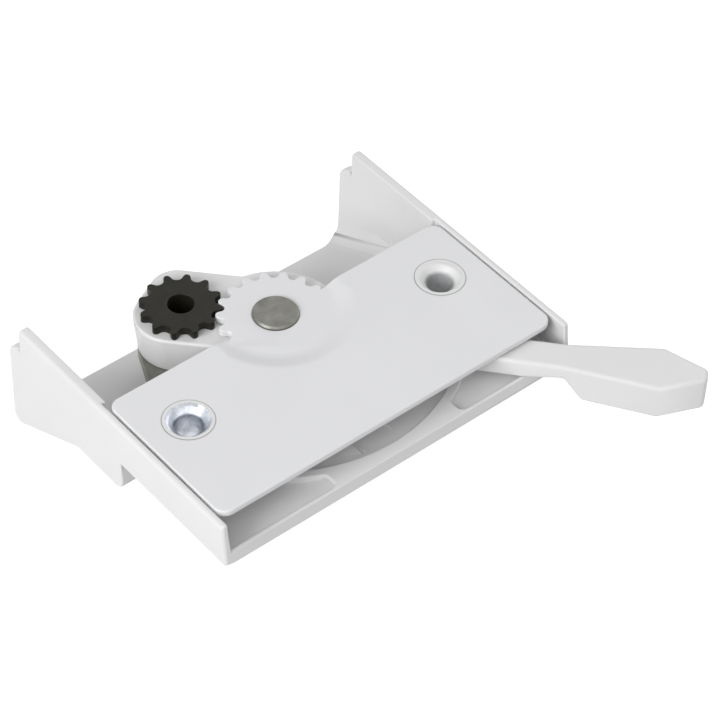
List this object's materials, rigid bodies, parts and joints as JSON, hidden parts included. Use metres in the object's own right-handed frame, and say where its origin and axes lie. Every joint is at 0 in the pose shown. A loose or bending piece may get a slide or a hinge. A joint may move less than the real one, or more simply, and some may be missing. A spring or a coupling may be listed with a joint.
{
  "type": "sash lock",
  "caption": "White surface-mounted sash lock seen from its base: stepped housing with wings, screw posts, base plate, and a swinging lever that turns a geared locking cam.",
  "frame": {"origin": "midway between the axes of the two screw posts, on the outer face of the base plate, which is the face that lies on the window's rail", "axes": "+Z out of the base plate, towards the rail it is fixed to; +X along the plate, through both screw holes; +Y towards the open back between the wings, where the keeper goes"},
  "size_m": [0.097, 0.0911, 0.0264],
  "materials": {
    "white_casting": "satin white paint over a die casting",
    "painted_plate": "satin light grey-white paint over stamped steel",
    "bare_steel": "dull bare steel",
    "black_sinter": "matte black sintered metal"
  },
  "bodies": {
    "lock_body": {"housing": "white_casting", "base_plate": "painted_plate", "pivot_pin": "bare_steel", "spring_washer": "bare_steel", "thrust_washer": "bare_steel"},
    "lever": {"cam_lever": "white_casting"},
    "cam_shaft": {"pinion": "black_sinter", "locking_cam": "black_sinter", "cam_clip": "bare_steel"}
  },
  "joints": [
    {"name": "lever_turn", "type": "hinge", "parent": "lock_body", "child": "lever", "pos_m": [0, 0.0125, -0.008], "axis": [0, 0, 1], "range_deg": [-83, 0]},
    {"name": "cam_turn", "type": "hinge", "parent": "lever", "child": "cam_shaft", "pos_m": [-0.01249, 0.02567, -0.008], "axis": [0, 0, 1], "range_deg": [-126, 1.5]}
  ],
  "couplings": [
    {"joint": "cam_turn", "follows": "lever_turn", "ratio": 1.5}
  ]
}
